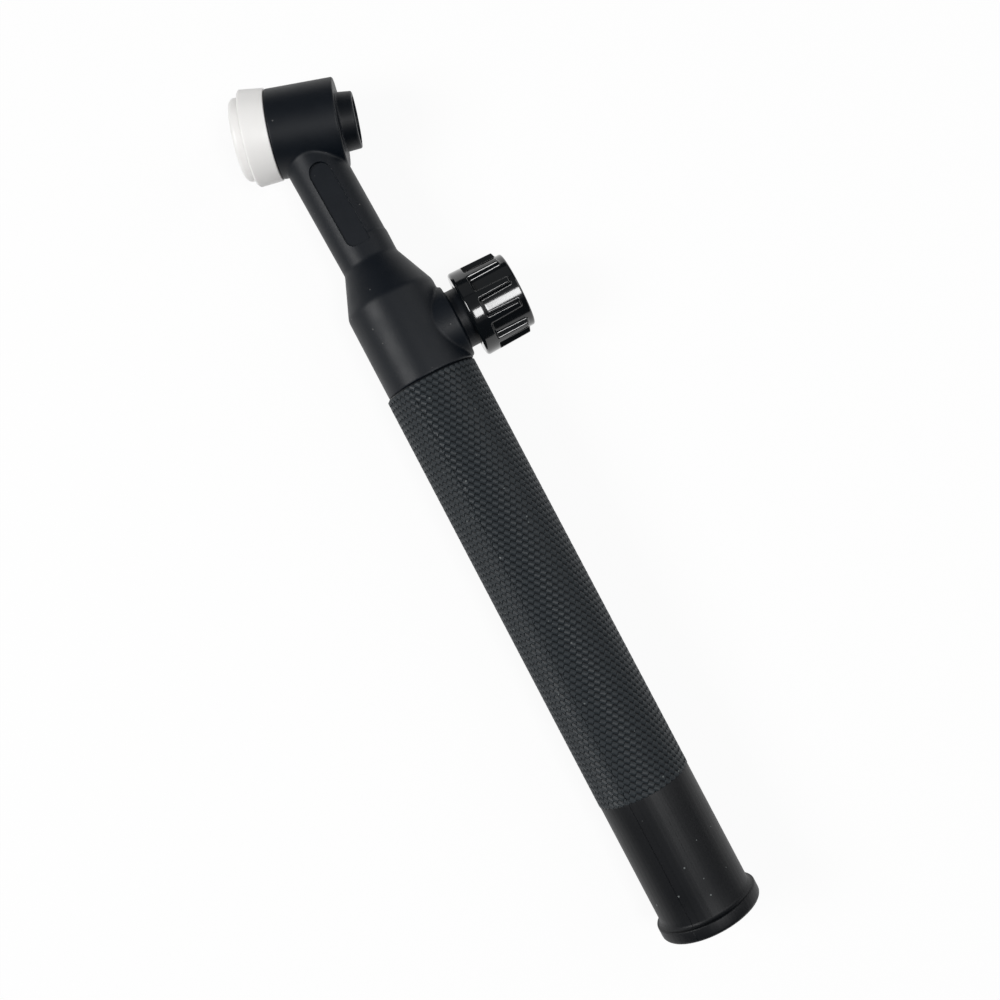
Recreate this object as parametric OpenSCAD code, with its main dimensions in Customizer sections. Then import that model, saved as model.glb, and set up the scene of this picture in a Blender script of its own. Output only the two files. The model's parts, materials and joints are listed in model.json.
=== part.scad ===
// Air-cooled TIG torch body with a flexible neck and a gas valve in the shoulder.
// The torch lies on its side: +X runs along the handle towards the head, the valve knob
// points to -Y, the nozzle side of the head to +Y, and the rim of the handle rests on Z = 0.

/* [Handle] */
// Length of the handle, from the shoulder to the rear rim
handle_length = 131; // [120:0.1:160]
// Length of the knurled grip
grip_length = 99; // [70:0.5:110]
// Diameter of the grip at its front end
grip_d = 21.1; // [20.4:0.1:25]
// Diameter of the grip at its rear end
grip_rear_d = 21.5; // [21.2:0.1:25]
// Diameter of the smooth tube behind the grip
tube_d = 21.2; // [19.8:0.1:21.3]
// Diameter of the rim at the rear end
rim_d = 23.4; // [22.6:0.1:26]
// Width of the rim
rim_width = 3; // [1.6:0.1:6]
// Bore of the handle
handle_bore_d = 17.2; // [15.6:0.1:18]
// Radial step from the bore to the wider rear mouth
mouth_step = 0.35; // [0.1:0.05:0.6]
// Depth of the rear mouth
mouth_depth = 26; // [10:1:60]

/* [Shoulder] */
// Diameter of the shoulder moulding
shoulder_d = 20.4; // [18.4:0.1:20.6]
// Length of the straight shoulder, from the handle to the cone
shoulder_length = 19.2; // [18:0.1:28]
// Length of the cone between shoulder and neck
cone_length = 9.1; // [6:0.1:14]
// How far the shoulder and the neck stand off the handle's axis, towards the knob
neck_offset = 0.35; // [0:0.05:0.6]
// Length of the spigot that plugs into the handle
spigot_length = 16; // [8:0.5:26]
// Diameter of the valve boss on the shoulder
boss_d = 16.4; // [15:0.1:17]
// Distance from the handle's axis to the face of the valve boss
boss_reach = 11.2; // [10.7:0.05:12.5]
// Diameter of the collar on the valve boss
collar_d = 13.2; // [11.6:0.1:13.6]
// How far the collar reaches into the skirt of the closed knob
collar_entry = 2; // [1.7:0.1:2.2]

/* [Neck] */
// Diameter of the neck sleeve
neck_d = 12.8; // [12:0.1:14]
// Length of the neck, from the cone to the axis of the head
neck_length = 33.2; // [30:0.1:48]
// Lean of the neck towards the nozzle side, in degrees
neck_lean = 1.5; // [0:0.1:4]
// Length of the sunk label panel
label_length = 19.5; // [12:0.1:21]
// Width of the sunk label panel
label_width = 4.9; // [3:0.05:7]
// Depth of the sunk label panel below the top of the sleeve
label_depth = 0.8; // [0.5:0.05:1.2]
// Distance from the cone to the start of the label panel
label_start = 3.5; // [1.5:0.1:4.5]
// Diameter over the corrugated tube in the neck
flex_tube_d = 5.8; // [5:0.1:6.2]
// Bore of the corrugated tube
flex_bore_d = 3.4; // [2.6:0.1:3.8]
// Pitch of the corrugations
flex_pitch = 1.6; // [1.2:0.1:2.4]
// Wall of the copper braid
braid_wall = 0.6; // [0.4:0.05:0.8]
// Wall of the ferrules that clamp the braid
ferrule_wall = 0.65; // [0.4:0.05:0.8]
// Length of the ferrules
ferrule_length = 3.8; // [3:0.1:5]
// Depth of the sockets that hold the ends of the corrugated tube
socket_depth = 3.6; // [2.6:0.1:4]

/* [Head] */
// Angle between the neck and the nozzle's axis, in degrees
head_angle = 108.9; // [95:0.1:120]
// Diameter of the head moulding
jacket_d = 19; // [18.6:0.1:22]
// Distance from the neck's axis to the front face of the head moulding
jacket_front = 5; // [4.4:0.1:8]
// Distance from the neck's axis to the back face of the head moulding
jacket_back = 9.9; // [9.2:0.1:14]
// Diameter of the rear collar at its end
rear_collar_d = 12; // [11.8:0.1:13.2]
// Length of the rear collar
rear_collar_length = 3.45; // [2:0.05:5]
// Diameter of the gasket where it meets the head
gasket_back_d = 19.5; // [18:0.1:20.2]
// Largest diameter of the gasket's flange
gasket_d = 20.65; // [20.3:0.05:22.2]
// Width of the gasket's flange
gasket_flange = 5.5; // [3.5:0.1:6.6]
// Length of the gasket
gasket_length = 7.8; // [7:0.1:10]
// Diameter of the gasket's front face
gasket_face_d = 15.2; // [13.6:0.1:16.4]
// Diameter of the thread that takes the collet body
collet_thread_d = 8.6; // [7.8:0.1:8.9]
// Diameter of the thread that takes the back cap
cap_thread_d = 7.2; // [6:0.1:7.6]
// Diameter of the passage for the electrode
electrode_bore_d = 4.8; // [3.4:0.1:5]

/* [Gas valve] */
// Distance from the handle to the valve's axis
valve_x = 8.7; // [8.4:0.1:9.4]
// Lift of the valve stem from closed to fully open
valve_lift = 1.6; // [1:0.1:1.7]
// Diameter of the valve chamber
chamber_d = 6.1; // [5.8:0.1:6.4]
// Diameter of the thread on the stem
stem_thread_d = 4.8; // [4:0.1:5]
// Diameter of the gas hole in the valve seat
seat_hole_d = 2; // [1.4:0.1:2.1]
// Height of the valve seat above the handle's axis
seat_height = 2.4; // [2.2:0.1:2.6]
// Diameter of the brass barrel in the shoulder
barrel_d = 12; // [11.4:0.1:13]
// Wall of the brass housing around the gland nut
housing_wall = 1.05; // [0.8:0.05:1.15]

/* [Knob] */
// Diameter of the knob at its base
knob_d = 19.4; // [18.6:0.1:21]
// Diameter of the knob between its ribs, where they start
knob_body_d = 16.9; // [16:0.1:17.6]
// Gap between the valve boss and the closed knob
knob_gap = 2.4; // [2:0.1:3]
// Length of the knob with its cap
knob_length = 12.35; // [11.6:0.05:15]
// Length of the plain band at the knob's base, with its rounded edge
band_length = 3.1; // [2.5:0.05:4.5]
// Length of the smooth end of the knob beyond its ribs
tip_length = 1.2; // [0.8:0.05:1.6]
// How much the band and the ribs draw in along the knob, in degrees
knob_draft = 1.6; // [0.5:0.1:2.4]
// How much the knob between its ribs draws in, in degrees
body_draft = 0.5; // [0:0.1:1]
// Number of ribs around the knob
rib_count = 10; // [8:1:14]
// Width of a rib along its crest
rib_width = 0.8; // [0.5:0.05:1.6]
// Lean of a rib's sides, in degrees
rib_lean = 37; // [15:1:42]
// Turn of the first rib from straight up, in degrees
rib_phase = 27.6; // [0:0.2:35.8]
// Diameter of the cap let into the knob's end
knob_cap_d = 13.9; // [13:0.1:14.2]
// Thickness of the knob's cap
knob_cap_t = 0.95; // [0.6:0.05:1.4]

/* [Gas and power line] */
// Outer diameter of the tube in the handle
power_tube_d = 8; // [7:0.1:8.4]
// Bore of the tube in the handle
power_bore_d = 5.2; // [4:0.1:5.6]
// Distance from the handle's front end to the end of the tube
power_tube_reach = 38; // [30:1:60]
// Width across the flats of the cable fitting
fitting_flats = 12; // [11:0.5:13.5]
// Length of the hexagon on the cable fitting
fitting_hex_length = 8; // [6:0.5:12]
// Diameter of the thread that takes the power cable
cable_thread_d = 9.8; // [8.5:0.1:10.4]
// Length of the thread that takes the power cable
cable_thread_length = 12; // [8:0.5:20]

/* [Hidden] */
$fn = 96;
tiny = 0.01;
// Gap between pieces that are moulded, brazed or pushed together
fit = 0.02;
// Radial gap between the spigot and the handle's bore
spigot_gap = 0.05;
// Gap of running pieces in the valve
running_gap = 0.05;
// Free gap between pieces that never touch
free_gap = 0.25;

// Radii that follow from the driving sizes
rim_r = rim_d / 2;
tube_r = tube_d / 2;
grip_r = grip_d / 2;
grip_rear_r = grip_rear_d / 2;
bore_r = handle_bore_d / 2;
shoulder_r = shoulder_d / 2;
neck_r = neck_d / 2;
jacket_r = jacket_d / 2;
flex_r = flex_tube_d / 2;
braid_in = flex_r + 2 * running_gap;
braid_out = braid_in + braid_wall;
ferrule_in = braid_out + running_gap;
ferrule_out = ferrule_in + ferrule_wall;
barrel_r = barrel_d / 2;
nose_r = ferrule_out + 0.45;
chamber_r = chamber_d / 2;

// The neck starts at the end of the cone and carries the head
cone_end = shoulder_length + cone_length;
head_dir = neck_lean + 180 - head_angle;
head_at = [cone_end + neck_length * cos(neck_lean), -neck_offset + neck_length * sin(neck_lean)];

// Distances from the head's axis, measured back along the neck
socket_face = jacket_r - 0.9;
socket_floor = socket_face - socket_depth;
// The brass nose in the cone ends this far below the neck
nose_drop = 2.8;

// Levels along the valve's axis, measured from the handle's axis
knob_base = boss_reach + knob_gap;
knob_end = knob_base + knob_length;
collar_reach = knob_base + collar_entry;
nut_head = 0.5;
nut_top = collar_reach - 0.1;
housing_top = nut_top - nut_head - fit;
seat_ring_t = 0.8;
stem_collar = seat_height + seat_ring_t + 2 * running_gap;
inlet_r = 0.95;
inlet_height = stem_collar + 0.6;
piston_low = inlet_height + inlet_r + 0.75;
piston_rim = 0.6;
gland_ring_t = 1.04;
groove_high = piston_low + piston_rim + gland_ring_t + 4 * running_gap;
piston_high = groove_high + piston_rim;
nut_low = piston_high + valve_lift + 0.15;
housing_r = chamber_r + 0.75 + housing_wall;
nut_r = housing_r - housing_wall - running_gap;
hub_low = nut_top + free_gap;
hub_r = 4;
hub_top = knob_end - 4.1;
spindle_r = stem_thread_d / 2 - 0.4;
skirt_r = collar_d / 2 + 0.4;
skirt_floor = collar_reach + 0.9;
web_top = skirt_floor + 2;
knob_core_r = knob_cap_d / 2 - 0.9;
cap_low = knob_end - knob_cap_t;
screw_r = 1.05;

// Points of an arc of radius r that rounds the corner b between a and c
function corner(a, b, c, r, n) =
    let (u = (a - b) / norm(a - b), v = (c - b) / norm(c - b), half = acos(u * v) / 2)
    let (centre = b + (u + v) / norm(u + v) * r / sin(half))
    let (from = b + u * r / tan(half) - centre, to = b + v * r / tan(half) - centre)
    let (start = atan2(from[1], from[0]), turn = (atan2(to[1], to[0]) - start + 540) % 360 - 180)
    [for (i = [0:n]) centre + r * [cos(start + turn * i / n), sin(start + turn * i / n)]];

// Outline through [radius, x] or [radius, x, rounding] points, with its corners rounded
function rounded(points, n = 5) = [for (i = [0:len(points) - 1])
    let (count = len(points), b = points[i], a = points[(i + count - 1) % count], c = points[(i + 1) % count])
    each len(b) < 3 ? [b] : corner([a[0], a[1]], [b[0], b[1]], [c[0], c[1]], b[2], n)];

// Section of the gasket, as [radius, distance from the head's front face]
gasket_bore_r = collet_thread_d / 2 + 1.45;
gasket_step_r = gasket_face_d / 2 + 1.2;
gasket_section = rounded([[gasket_bore_r, fit], [gasket_back_d / 2, fit, 0.15],
    [gasket_d / 2, gasket_flange, 0.5], [gasket_step_r, gasket_flange, 0.25],
    [gasket_step_r, gasket_length, 1.2], [gasket_bore_r, gasket_length, 0.3]]);

// Box of the torch, from which its origin follows
head_points = [for (p = gasket_section) [p[0], p[1] + jacket_front]];
front_x = head_at[0] + max([for (p = head_points) p[1] * cos(head_dir) + p[0] * sin(head_dir)]);
front_y = head_at[1] + max([for (p = head_points) p[1] * sin(head_dir) + p[0] * cos(head_dir)]);
centre_x = (front_x - handle_length) / 2;
centre_y = (front_y - knob_end) / 2;

// Moves the torch so that its box stands centred on the origin
module in_row() translate([-centre_x, -centre_y, rim_r]) children();

// Solid of revolution about the local X axis, from [radius, x] points
module lathe(points) rotate([0, 90, 0]) rotate_extrude() polygon(points);

// Rod or ring about the local X axis
module rod(r, from, to) translate([from, 0, 0]) rotate([0, 90, 0]) cylinder(r = r, h = to - from);

// Frames: the shoulder's own axis, the neck, the head and the valve, each along its local X axis
module on_shoulder() translate([0, -neck_offset, 0]) children();
module on_neck() translate([cone_end, -neck_offset, 0]) rotate([0, 0, neck_lean]) children();
module on_head() on_neck() translate([neck_length, 0, 0]) rotate([0, 0, 180 - head_angle]) children();
module on_valve() translate([valve_x, 0, 0]) rotate([0, 0, -90]) children();

// ---------------------------------------------------------------- handle and shoulder

module handle() {
    back = -handle_length;
    rim_front = back + rim_width;
    mouth_r = bore_r + mouth_step;
    color("#2c3032") in_row() lathe(rounded([
        [bore_r, 0], [grip_r, 0, 0.5], [grip_rear_r, 0.3 - grip_length, 0.2], [tube_r, -grip_length],
        [tube_r, rim_front, 0.8], [rim_r, rim_front, 0.2], [rim_r, back, 0.6],
        [mouth_r, back, 0.4], [mouth_r, back + mouth_depth], [bore_r, back + mouth_depth]]));
}

// Outline of the rubber moulding before it is cored out
module shoulder_form() {
    spigot_r = bore_r - spigot_gap;
    boss_r = boss_d / 2;
    collar_r = collar_d / 2;
    on_shoulder() lathe(rounded([[0, 0], [shoulder_r, 0, 0.3],
        [shoulder_r, shoulder_length, 3], [neck_r, cone_end], [0, cone_end]]));
    lathe([[0, -spigot_length], [spigot_r - 1, -spigot_length],
        [spigot_r, -spigot_length + 1.5], [spigot_r, 1], [0, 1]]);
    on_valve() lathe(rounded([[0, 0], [boss_r, 0], [boss_r, boss_reach, 0.9],
        [collar_r, boss_reach], [collar_r, collar_reach, 0.3], [0, collar_reach]]));
}

module shoulder_jacket() {
    color("#1e2124") in_row() difference() {
        shoulder_form();
        valve_form(fit);
        on_shoulder() rod(power_tube_d / 2 + fit, -spigot_length - 1, 0);
        on_neck() rod(ferrule_out + running_gap, -nose_drop, 1);
    }
}

// ---------------------------------------------------------------- valve body

// Outline of the brass valve body, grown by extra, before its passages are drilled
module valve_form(extra = 0) {
    on_shoulder() rod(barrel_r + extra, -1 - extra, shoulder_length - 0.5 + extra);
    on_neck() rod(nose_r + extra, -cone_length - 4, -nose_drop + extra);
    on_valve() rod(housing_r + extra, 0, housing_top + (extra > 0 ? 5 : 0));
}

module valve_body() {
    tube_seat = 2.5;
    color("#b08d4c") in_row() difference() {
        valve_form();
        on_shoulder() rod(power_tube_d / 2 + fit, -2, tube_seat);
        translate([0, -inlet_height, 0]) rod(inlet_r, 0, valve_x);
        on_valve() rod(chamber_r, seat_height, nut_low);
        on_valve() rod(nut_r + running_gap, nut_low, housing_top + 1);
        on_valve() rod(seat_hole_d / 2, neck_offset, seat_height + 1);
        on_shoulder() rod(1.3, valve_x, cone_end - nose_drop - socket_depth);
        on_neck() rod(flex_r + running_gap, -nose_drop - socket_depth, 1);
    }
}

module gland_nut() {
    slot_w = 1.2;
    slot_depth = 0.35;
    color("#c2a15c") in_row() on_valve() difference() {
        union() {
            rod(nut_r, nut_low, housing_top + fit);
            rod(housing_r - 0.25, nut_top - nut_head, nut_top);
        }
        rod(stem_thread_d / 2 + running_gap, nut_low - 1, nut_top + 1);
        translate([nut_top - slot_depth, -housing_r, -slot_w / 2]) cube([1, 2 * housing_r, slot_w]);
    }
}

module power_tube() {
    color("#b87343") in_row() on_shoulder() difference() {
        rod(power_tube_d / 2, -power_tube_reach, 1);
        rod(power_bore_d / 2, -power_tube_reach - 1, 2);
    }
}

module cable_fitting() {
    tube_entry = 4.5;
    hex_front = -power_tube_reach + tube_entry;
    hex_back = hex_front - fitting_hex_length;
    thread_end = hex_back - cable_thread_length;
    thread_r = cable_thread_d / 2;
    chamfer = 0.8;
    color("#c2a15c") in_row() on_shoulder() difference() {
        union() {
            translate([hex_back, 0, 0]) rotate([0, 90, 0])
                cylinder(d = fitting_flats / cos(30), h = fitting_hex_length, $fn = 6);
            lathe([[0, hex_back + 1], [thread_r, hex_back + 1], [thread_r, thread_end + chamfer],
                [thread_r - chamfer, thread_end], [0, thread_end]]);
        }
        rod(power_tube_d / 2 + fit, -power_tube_reach - fit, hex_front + 1);
        rod(power_bore_d / 2, thread_end - 1, hex_front);
    }
}

module rear_ferrule() {
    start = -nose_drop + running_gap;
    color("#c2a15c") in_row() on_neck() difference() {
        rod(ferrule_out, start, start + ferrule_length);
        rod(ferrule_in, start - 1, start + ferrule_length + 1);
    }
}

// ---------------------------------------------------------------- neck

// Stadium that is sunk into the top of the sleeve
module label_cut() {
    end_r = label_width / 2;
    run = label_length - label_width;
    translate([label_start + end_r, 0, neck_r - label_depth]) {
        cylinder(r = end_r, h = label_depth + 1);
        translate([run, 0, 0]) cylinder(r = end_r, h = label_depth + 1);
        translate([0, -end_r, 0]) cube([run, label_width, label_depth + 1]);
    }
}

module neck_sleeve() {
    ferrule_room = ferrule_out + 2 * running_gap;
    color("#1e2124") in_row() difference() {
        on_neck() rod(neck_r, -1, neck_length - jacket_r + 2.2);
        translate([cone_end - 20, -20, -20]) cube([20, 40, 40]);
        on_head() rod(jacket_r + 2 * running_gap, -jacket_back - 10, jacket_front + 10);
        on_neck() {
            rod(braid_out + running_gap, -2, neck_length);
            rod(ferrule_room, -2, ferrule_length - nose_drop + 2 * running_gap);
            rod(ferrule_room, neck_length - socket_face - ferrule_length - 3 * running_gap, neck_length);
            rod(nose_r + running_gap, neck_length - socket_face - running_gap, neck_length);
            label_cut();
        }
    }
}

module flex_tube() {
    from = -nose_drop - socket_depth + running_gap;
    to = neck_length - socket_floor - running_gap;
    first = 1.5;
    last = neck_length - jacket_r - 1;
    root_r = flex_bore_d / 2 + 0.6;
    count = floor((last - first) / flex_pitch);
    color("#b87343") in_row() on_neck() lathe(concat(
        [[flex_bore_d / 2, from], [flex_r, from]],
        [for (i = [0:count - 1], step = [[flex_r, 0], [root_r, 0.3], [root_r, 0.5], [flex_r, 0.8]])
            [step[0], first + (i + step[1]) * flex_pitch]],
        [[flex_r, to], [flex_bore_d / 2, to]]));
}

module copper_braid() {
    color("#c07a45") in_row() on_neck() difference() {
        rod(braid_out, -nose_drop + running_gap, neck_length - socket_face - running_gap);
        rod(braid_in, -nose_drop - 1, neck_length);
    }
}

// ---------------------------------------------------------------- head

module front_ferrule() {
    end = neck_length - socket_face - running_gap;
    color("#c2a15c") in_row() on_neck() difference() {
        rod(ferrule_out, end - ferrule_length, end);
        rod(ferrule_in, end - ferrule_length - 1, end + 1);
    }
}

// Outline of the brass head body, grown by extra, before its threads and passages are cut
module head_form(extra = 0) {
    rear_r = rear_collar_d / 2 - 1.3;
    on_head() {
        rod(gasket_bore_r + 0.65 + extra, 2 - jacket_back - extra, jacket_front - 1.2 + extra);
        rod(rear_r + extra, -jacket_back - rear_collar_length + 1.5 - (extra > 0 ? 5 : 0), 0);
        rod(gasket_bore_r - fit - (extra > 0 ? 0 : fit), 0, jacket_front + gasket_length - 2.2);
    }
    on_neck() rod(nose_r + extra, neck_length - socket_face - extra, neck_length);
}

module head_body() {
    chamber_back = -3.5;
    chamber_front = 2;
    color("#b08d4c") in_row() difference() {
        head_form();
        on_head() {
            rod(collet_thread_d / 2, chamber_front, jacket_front + gasket_length);
            rod(electrode_bore_d / 2, chamber_back - 1, chamber_front + 1);
            rod(cap_thread_d / 2, -jacket_back - rear_collar_length, chamber_back);
        }
        on_neck() {
            rod(flex_r + running_gap, neck_length - socket_face - 1, neck_length - socket_floor);
            rod(1.2, neck_length - socket_floor - 1, neck_length);
        }
    }
}

module head_jacket() {
    rear_r = rear_collar_d / 2;
    end = -jacket_back - rear_collar_length;
    color("#1e2124") in_row() difference() {
        on_head() lathe(rounded([[0, end], [rear_r, end, 0.3], [rear_r + 0.3, -jacket_back, 0.3],
            [jacket_r, -jacket_back, 0.5], [jacket_r, jacket_front, 0.5], [0, jacket_front]]));
        head_form(fit);
        on_neck() rod(ferrule_out + running_gap, neck_length - jacket_r - 2, neck_length - socket_face);
    }
}

module cup_gasket() {
    color("#efefec") in_row() on_head() translate([jacket_front, 0, 0]) lathe(gasket_section);
}

// ---------------------------------------------------------------- valve stem and knob

// O-ring about the local X axis, centred at x
module o_ring(x, r, cord_r) translate([x, 0, 0]) rotate([0, 90, 0])
    rotate_extrude() translate([r, 0]) circle(r = cord_r, $fn = 32);

module seat_o_ring() {
    cord_r = seat_ring_t / 2;
    color("#26262a") in_row() on_valve()
        o_ring(seat_height + running_gap + cord_r, seat_hole_d / 2 + cord_r, cord_r);
}

module gland_o_ring() {
    cord_r = gland_ring_t / 2;
    color("#26262a") in_row() on_valve()
        o_ring(piston_low + piston_rim + 2 * running_gap + cord_r, chamber_r - 1.5 * running_gap - cord_r,
               cord_r);
}

module valve_stem() {
    nose = seat_hole_d / 2 - 0.12;
    waist = 1.6;
    piston = chamber_r - 0.2;
    groove = chamber_r - gland_ring_t - 2.5 * running_gap;
    thread = stem_thread_d / 2;
    top = hub_top - 0.2;
    color("#c2a15c") in_row() on_valve() difference() {
        lathe([[0, seat_height - 0.9], [nose - 0.3, seat_height - 0.9], [nose, seat_height - 0.5],
            [nose, stem_collar], [waist + 0.5, stem_collar], [waist + 0.5, stem_collar + 0.5],
            [waist, stem_collar + 0.5], [waist, piston_low], [piston, piston_low],
            [piston, piston_low + piston_rim], [groove, piston_low + piston_rim],
            [groove, groove_high], [piston, groove_high], [piston, piston_high],
            [thread, piston_high], [thread, hub_low], [spindle_r, hub_low], [spindle_r, top], [0, top]]);
        rod(screw_r + fit, top - 4.4, top + 1);
    }
}

// Ribs of the knob, longer and taller than they end up, with their slanted ends at the knob's tip
module knob_ribs(crest_r, body_r, clear_r, from) {
    root_r = body_r - 0.5;
    root_half = rib_width / 2 + (crest_r - root_r) * tan(rib_lean);
    foot = knob_end - tip_length;
    slope = 0.65 / (crest_r - body_r);
    intersection() {
        lathe([[0, from], [clear_r, from], [clear_r, foot - (clear_r - body_r) * slope],
            [root_r, foot + (body_r - root_r) * slope], [0, foot + (body_r - root_r) * slope]]);
        for (i = [0:rib_count - 1]) rotate([rib_phase + i * 360 / rib_count, 0, 0])
            translate([from, 0, 0]) rotate([90, 0, 90]) linear_extrude(knob_length)
                polygon([[-root_half, root_r], [root_half, root_r], [rib_width / 2, crest_r],
                    [rib_width / 2, clear_r], [-rib_width / 2, clear_r], [-rib_width / 2, crest_r]]);
    }
}

module knob() {
    crest_r = knob_d / 2;
    body_r = knob_body_d / 2;
    clear_r = crest_r + 1;
    band_end = knob_base + band_length;
    band_wall = 0.5;
    past = 1;
    tip_r = body_r - (knob_end - band_end - band_wall) * tan(body_draft);
    color("#121314") in_row() on_valve() difference() {
        lathe(rounded([[0, knob_base], [crest_r, knob_base, 0.7],
            [crest_r - (knob_length + past) * tan(knob_draft), knob_end + past], [0, knob_end + past]]));
        difference() {
            lathe(rounded([[0, knob_end], [tip_r, knob_end, 0.45], [body_r, band_end + band_wall],
                [clear_r, band_end - (clear_r - crest_r) * band_wall / (crest_r - body_r)],
                [clear_r, knob_end + 2 * past], [0, knob_end + 2 * past]]));
            knob_ribs(crest_r, body_r, clear_r, band_end - past);
        }
        difference() {
            rod(skirt_r, knob_base - past, skirt_floor);
            rod(hub_r, hub_low, skirt_floor + past);
        }
        difference() {
            rod(knob_core_r, web_top, cap_low);
            rod(hub_r, web_top - past, hub_top);
        }
        rod(knob_cap_d / 2 + fit, cap_low - running_gap, knob_end + past);
        rod(spindle_r + fit, knob_base - past, cap_low);
    }
}

module knob_screw() {
    head_r = 2.3;
    head_t = 1.4;
    low = hub_top + fit;
    color("#9a9c9e") in_row() on_valve() difference() {
        union() {
            rod(screw_r, low - 4, low + tiny);
            rod(head_r, low, low + head_t);
        }
        translate([low + head_t - 0.8, 0, 0]) rotate([0, 90, 0]) cylinder(r = 1.1, h = 2, $fn = 6);
    }
}

module knob_cap() {
    cap_r = knob_cap_d / 2;
    plug_out = knob_core_r - fit;
    plug_in = plug_out - 0.9;
    plug_low = cap_low - 1.6;
    color("#121314") in_row() on_valve() lathe(rounded([
        [0, cap_low], [plug_in, cap_low], [plug_in, plug_low], [plug_out, plug_low, 0.2],
        [plug_out, cap_low], [cap_r, cap_low, 0.15], [cap_r, knob_end, 0.2], [0, knob_end]]));
}

handle();
shoulder_jacket();
valve_body();
gland_nut();
power_tube();
cable_fitting();
rear_ferrule();
neck_sleeve();
flex_tube();
copper_braid();
front_ferrule();
head_body();
head_jacket();
cup_gasket();
seat_o_ring();
gland_o_ring();
valve_stem();
knob();
knob_screw();
knob_cap();
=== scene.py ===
"""Looks of the TIG torch: its meshes, finishes, light and camera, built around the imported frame."""
import sys

import json
import logging
import math
from dataclasses import dataclass
from enum import Enum
from typing import Callable, ClassVar, Iterable, Sequence

import bmesh
import bpy
from mathutils import Matrix, Vector

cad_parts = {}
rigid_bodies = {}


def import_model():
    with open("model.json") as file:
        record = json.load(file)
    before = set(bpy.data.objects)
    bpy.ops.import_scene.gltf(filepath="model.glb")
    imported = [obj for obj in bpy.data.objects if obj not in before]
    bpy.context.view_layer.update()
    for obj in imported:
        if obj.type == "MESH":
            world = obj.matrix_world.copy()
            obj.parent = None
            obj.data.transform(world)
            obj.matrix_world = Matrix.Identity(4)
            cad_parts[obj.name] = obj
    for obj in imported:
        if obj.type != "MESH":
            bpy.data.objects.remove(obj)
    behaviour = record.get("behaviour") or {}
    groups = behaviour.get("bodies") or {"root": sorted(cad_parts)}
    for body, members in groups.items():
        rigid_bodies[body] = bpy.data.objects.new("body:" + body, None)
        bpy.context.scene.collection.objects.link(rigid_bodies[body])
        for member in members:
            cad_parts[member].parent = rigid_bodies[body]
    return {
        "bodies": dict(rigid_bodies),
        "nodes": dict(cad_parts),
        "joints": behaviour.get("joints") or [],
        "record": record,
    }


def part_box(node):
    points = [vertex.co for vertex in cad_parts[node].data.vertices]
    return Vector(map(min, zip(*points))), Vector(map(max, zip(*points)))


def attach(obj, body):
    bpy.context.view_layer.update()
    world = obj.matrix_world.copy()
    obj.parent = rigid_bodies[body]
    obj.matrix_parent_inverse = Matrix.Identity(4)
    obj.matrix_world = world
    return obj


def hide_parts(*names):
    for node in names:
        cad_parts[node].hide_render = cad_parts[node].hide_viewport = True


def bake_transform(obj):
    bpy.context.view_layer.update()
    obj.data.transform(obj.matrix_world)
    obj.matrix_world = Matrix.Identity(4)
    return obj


LOG = logging.getLogger("torch")
Point = tuple[float, ...]
Outline = list[tuple[float, float]]
Colour = tuple[float, float, float]
Piece = bpy.types.Object
Tree = bpy.types.NodeTree
Material = bpy.types.Material
MM = 0.001
NEAR = 0.05
TINY = 1e-5


class Body(Enum):
    """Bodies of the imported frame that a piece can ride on."""

    ROOT = "root"
    NECK = "neck"
    HEAD = "head"
    KNOB = "valve_knob"


class Cut(Enum):
    """What a tool does to a piece."""

    REMOVE = "DIFFERENCE"
    FUSE = "UNION"


# ------------------------------------------------------------------ modelling by hand


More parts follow.
